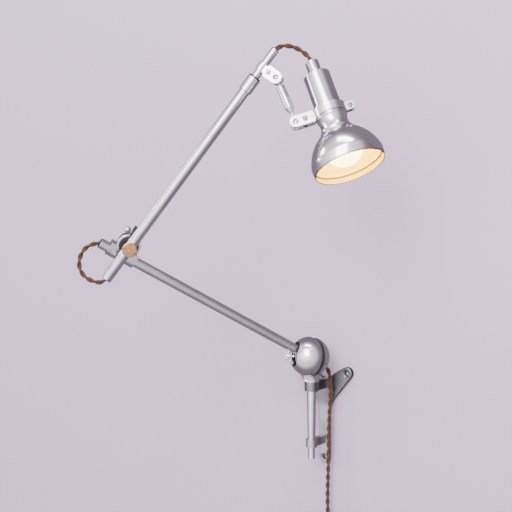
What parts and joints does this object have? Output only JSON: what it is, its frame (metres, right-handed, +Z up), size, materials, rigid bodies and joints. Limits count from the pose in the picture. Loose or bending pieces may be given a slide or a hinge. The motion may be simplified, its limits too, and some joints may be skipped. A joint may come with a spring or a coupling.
{
  "type": "swing arm wall sconce",
  "caption": "Wall lamp on a swivelling ball joint, with a two-part tubular arm clamped at its elbow and a small bell shade on a ball-ended rod.",
  "frame": {"origin": "on the wall face, midway in height between the upper screw holes and the lower one", "axes": "+X along the wall, +Y into the wall, +Z up"},
  "size_m": [0.435, 0.3756, 0.9364],
  "materials": {
    "polished_aluminium": "polished to a soft mirror, with fine lengthwise buffing marks",
    "satin_casting": "cast, then brushed and lightly polished",
    "nickel_hardware": "bright nickel plated small hardware",
    "bright_steel": "plain turned steel",
    "copper_disc": "tarnished copper coloured disc with mottled oxide",
    "black_fitting": "black moulded nylon",
    "dark_rubber": "dark soft bush",
    "ball_grey": "turned grey ball",
    "shade_inside": "polished shade, warm inside",
    "porcelain": "glazed insulator",
    "brass_shell": "plain brass contact shell",
    "bulb_glass": "frosted glass bulb",
    "bulb_cap": "thin screw cap",
    "brown_flex": "twisted two-core flex, brown cotton braid",
    "plug_plastic": "dark brown moulded plug"
  },
  "bodies": {
    "wall": {"wall_bracket": "satin_casting", "mains_cord": "brown_flex", "cord_coil": "brown_flex", "coil_tie": "black_fitting", "plug_cord": "brown_flex", "plug_body": "plug_plastic", "plug_pins": "nickel_hardware"},
    "swivel": {"swivel_spindle": "satin_casting", "rear_cup": "polished_aluminium", "friction_ring": "black_fitting", "ball_seat": "black_fitting", "cord_grommet": "dark_rubber", "housing_flex": "brown_flex"},
    "dome": {"front_dome": "polished_aluminium", "dome_retainer": "bright_steel"},
    "lock_screw": {"lock_screw": "nickel_hardware"},
    "lower_arm": {"joint_ball": "ball_grey", "lower_tube": "polished_aluminium", "lower_tube_bush": "dark_rubber", "lower_flex": "brown_flex", "elbow_cord": "brown_flex"},
    "clamp": {"elbow_clamp": "satin_casting", "pivot_washer": "nickel_hardware", "pivot_bolt": "copper_disc"},
    "wing_nut": {"wing_nut": "nickel_hardware"},
    "upper_arm": {"upper_tube": "polished_aluminium", "upper_tube_bush": "dark_rubber", "tube_collar": "polished_aluminium", "upper_flex": "brown_flex", "tube_saddle": "black_fitting"},
    "collar_bush": {"collar_bush": "black_fitting"},
    "inner_arm": {"inner_tube": "polished_aluminium", "inner_tube_bush": "dark_rubber", "inner_flex": "brown_flex", "top_strap": "nickel_hardware", "top_screw": "bright_steel", "head_cord": "brown_flex"},
    "rod": {"ball_rod": "nickel_hardware"},
    "head": {"band_front": "nickel_hardware", "band_rear": "nickel_hardware", "band_screws": "bright_steel", "holder_cap": "polished_aluminium", "holder_body": "polished_aluminium", "holder_insulator": "porcelain", "holder_shell": "brass_shell", "cap_grip": "dark_rubber", "shade_ring": "polished_aluminium", "shade": "shade_inside", "bulb_glass": "bulb_glass", "bulb_cap": "bulb_cap"}
  },
  "joints": [
    {"name": "base_swivel", "type": "hinge", "parent": "wall", "child": "swivel", "pos_m": [0, -0.05, 0], "axis": [0, 0, 1], "range_deg": [-43, 50], "deforming": ["mains_cord"]},
    {"name": "dome_turn", "type": "hinge", "parent": "swivel", "child": "dome", "pos_m": [0, -0.056, 0.1042], "axis": [-0.2556, -0.954, 0.1564], "range_deg": [-45, 45], "deforming": ["housing_flex"]},
    {"name": "arm_tilt", "type": "hinge", "parent": "dome", "child": "lower_arm", "pos_m": [0, -0.056, 0.1042], "axis": [-0.8418, 0.5398, 0], "range_deg": [-36, 6], "deforming": ["housing_flex"]},
    {"name": "lock_screw_turn", "type": "hinge", "parent": "dome", "child": "lock_screw", "pos_m": [-0.03079, -0.0692, 0.1042], "axis": [-0.9191, -0.3939, 0], "range_deg": [-180, 180]},
    {"name": "clamp_roll", "type": "hinge", "parent": "lower_arm", "child": "clamp", "pos_m": [-0.17226, -0.32463, 0.2751], "axis": [-0.4759, -0.7421, 0.4721], "range_deg": [-40, 60], "deforming": ["elbow_cord"]},
    {"name": "elbow_pivot", "type": "hinge", "parent": "clamp", "child": "upper_arm", "pos_m": [-0.16176, -0.32081, 0.29169], "axis": [0.7057, -0.6425, -0.2986], "range_deg": [-60, 70], "deforming": ["elbow_cord"]},
    {"name": "wing_nut_turn", "type": "hinge", "parent": "clamp", "child": "wing_nut", "pos_m": [-0.16176, -0.32081, 0.29169], "axis": [0.7057, -0.6425, -0.2986], "continuous": true},
    {"name": "collar_turn", "type": "hinge", "parent": "upper_arm", "child": "collar_bush", "pos_m": [-0.14483, -0.33623, 0.28452], "axis": [0.5604, 0.2483, 0.7902], "range_deg": [-150, 150]},
    {"name": "inner_slide", "type": "slide", "parent": "collar_bush", "child": "inner_arm", "axis": [0.5604, 0.2483, 0.7902], "range_m": [-0.006, 0.04]},
    {"name": "rod_top", "type": "hinge", "parent": "inner_arm", "child": "rod", "pos_m": [0.06129, -0.24891, 0.52778], "axis": [0.3069, -0.9483, 0.0804], "range_deg": [-25, 25], "deforming": ["head_cord"]},
    {"name": "rod_foot", "type": "hinge", "parent": "rod", "child": "head", "pos_m": [0.09675, -0.25282, 0.45955], "axis": [0.4692, -0.8321, 0.2957], "range_deg": [-25, 20], "deforming": ["head_cord"]}
  ]
}
